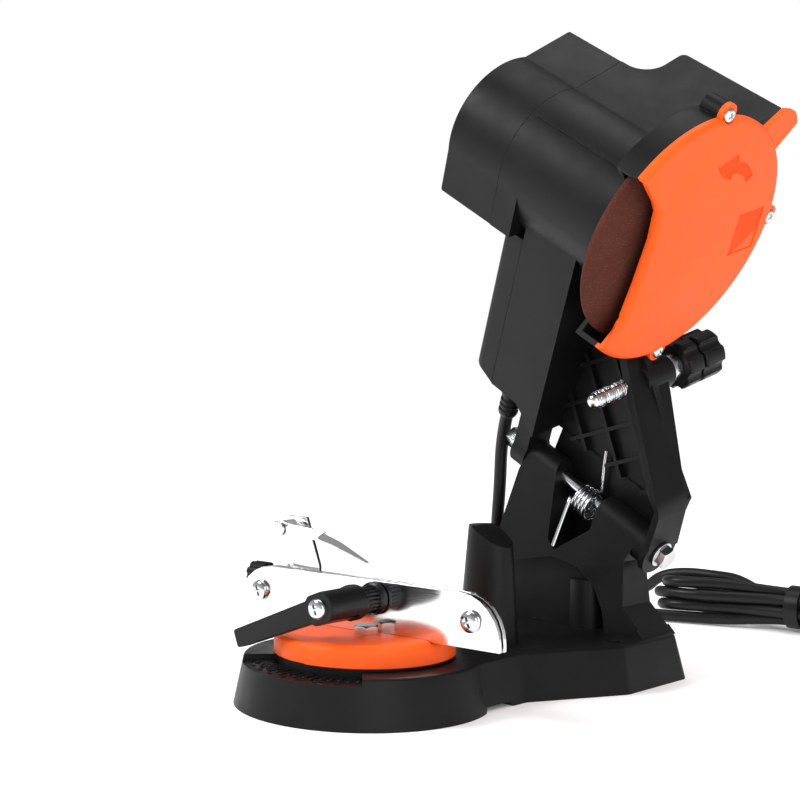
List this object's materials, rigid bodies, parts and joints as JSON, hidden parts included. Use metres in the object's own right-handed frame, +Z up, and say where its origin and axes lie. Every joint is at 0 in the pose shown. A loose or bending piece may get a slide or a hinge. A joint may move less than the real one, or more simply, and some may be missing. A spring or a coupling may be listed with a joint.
{
  "type": "electric chainsaw sharpener",
  "caption": "Bench chainsaw chain sharpener: tilted motor head with orange guard and grinding wheel on a swinging arm, over a turntable vise on a black base.",
  "frame": {"origin": "the turntable's axis, on the plane that the base stands on", "axes": "+Z up, +X along the bar guide towards the leaning motor head's wheel side, +Y to the rear, where the pivot tower stands"},
  "size_m": [0.2765, 0.386, 0.3069],
  "materials": {
    "black_body": "black moulded plastic with a fine satin grain",
    "black_detail": "black plastic, slightly smoother than the body",
    "orange_plastic": "orange moulded plastic, soft sheen",
    "cord_rubber": "black flexible PVC",
    "zinc_steel": "bright zinc-plated steel",
    "polished_steel": "bright finely brushed steel sheet",
    "dark_steel": "dark oiled steel",
    "wheel_abrasive": "brown resin-bonded abrasive with a fine speckle",
    "copper_windings": "varnished copper winding and steel core",
    "bearing_steel": "ground steel bearing",
    "carbon": "brass-cased carbon brush",
    "fan_plastic": "pale nylon"
  },
  "bodies": {
    "base": {"base": "black_body", "pivot_bolt": "zinc_steel", "pivot_nut": "zinc_steel", "pivot_washers": "zinc_steel", "torsion_spring": "zinc_steel", "power_cord": "cord_rubber", "cord_hank": "cord_rubber", "cord_tie": "cord_rubber", "cord_tail": "cord_rubber", "power_plug": "black_detail", "plug_pins": "polished_steel"},
    "turntable": {"turntable": "orange_plastic", "turntable_washer": "zinc_steel", "turntable_screw": "zinc_steel", "guide_plate_rear": "polished_steel", "guide_screws": "zinc_steel", "guide_nuts": "zinc_steel", "vise_bolt": "zinc_steel", "vise_nut": "zinc_steel", "lever_stud": "zinc_steel", "clamp_nut": "zinc_steel", "stop_guide_screw": "zinc_steel"},
    "front_plate": {"guide_plate_front": "polished_steel"},
    "clamp_lever": {"clamp_lever": "black_detail", "lever_collar": "dark_steel", "lever_screw": "zinc_steel"},
    "stop_carriage": {"stop_carriage": "polished_steel", "stop_pin": "zinc_steel"},
    "stop_pawl": {"stop_pawl": "polished_steel"},
    "stop_knob": {"stop_knob": "black_detail", "stop_screw": "zinc_steel"},
    "head": {"head_housing": "black_body", "motor_end_cap": "black_body", "arm_side_cover": "black_body", "motor_stator": "dark_steel", "front_bearing": "bearing_steel", "rear_bearing": "bearing_steel", "brush_holders": "carbon", "inner_guard": "black_body", "guard_cover": "orange_plastic", "guard_screws": "zinc_steel", "depth_insert": "zinc_steel", "switch_body": "black_detail", "strain_relief": "cord_rubber"},
    "spindle": {"motor_armature": "copper_windings", "cooling_fan": "fan_plastic", "grinding_wheel": "wheel_abrasive", "inner_flange": "dark_steel", "outer_flange": "dark_steel", "wheel_screw": "zinc_steel"},
    "depth_screw": {"depth_screw": "zinc_steel", "depth_knob": "black_detail"},
    "depth_lock_knob": {"depth_lock_knob": "black_detail"},
    "switch_rocker": {"switch_rocker": "black_detail"}
  },
  "joints": [
    {"name": "turntable_turn", "type": "hinge", "parent": "base", "child": "turntable", "pos_m": [0, 0, 0.02], "axis": [0, 0, 1], "range_deg": [-39, 31]},
    {"name": "clamp_lever_turn", "type": "hinge", "parent": "turntable", "child": "clamp_lever", "pos_m": [0.00798, 0.00056, 0.0464], "axis": [-0.0698, 0.9976, 0], "range_deg": [0, 60]},
    {"name": "front_plate_clamp", "type": "slide", "parent": "turntable", "child": "front_plate", "axis": [-0.0698, 0.9976, 0], "range_m": [0, 0.00028]},
    {"name": "stop_knob_turn", "type": "hinge", "parent": "turntable", "child": "stop_knob", "pos_m": [-0.0706, 0.00609, 0.047], "axis": [0.9976, 0.0698, 0], "range_deg": [-1800, 1800]},
    {"name": "stop_carriage_slide", "type": "slide", "parent": "turntable", "child": "stop_carriage", "axis": [0.9976, 0.0698, 0], "range_m": [-0.004, 0.004]},
    {"name": "stop_pawl_lift", "type": "hinge", "parent": "stop_carriage", "child": "stop_pawl", "pos_m": [-0.0429, -0.003, 0.072], "axis": [0.0698, -0.9976, 0], "range_deg": [0, 30]},
    {"name": "head_swing", "type": "hinge", "parent": "base", "child": "head", "pos_m": [0.042, 0.134, 0.07275], "axis": [0.866, 0, -0.5], "range_deg": [0, 66], "stiffness_Nm_per_rad": 1, "springref_deg": -45.84, "deforming": ["torsion_spring", "power_cord"]},
    {"name": "spindle_spin", "type": "hinge", "parent": "head", "child": "spindle", "pos_m": [0.08293, 0.10478, 0.20764], "axis": [0.866, 0, -0.5], "continuous": true},
    {"name": "depth_screw_slide", "type": "slide", "parent": "head", "child": "depth_screw", "axis": [0.171, 0.9397, 0.2962], "range_m": [-0.001, 0.014]},
    {"name": "depth_lock_turn", "type": "hinge", "parent": "head", "child": "depth_lock_knob", "pos_m": [0.05941, 0.15578, 0.1489], "axis": [0.171, 0.9397, 0.2962], "continuous": true},
    {"name": "switch_rock", "type": "hinge", "parent": "head", "child": "switch_rocker", "pos_m": [0.07564, 0.15351, 0.26701], "axis": [0.4045, -0.5878, 0.7006], "range_deg": [-12, 0]}
  ],
  "couplings": [
    {"joint": "clamp_lever_turn", "follows": "front_plate_clamp", "rad_per_m": 3740},
    {"joint": "stop_knob_turn", "follows": "stop_carriage_slide", "rad_per_m": 7853.9}
  ]
}
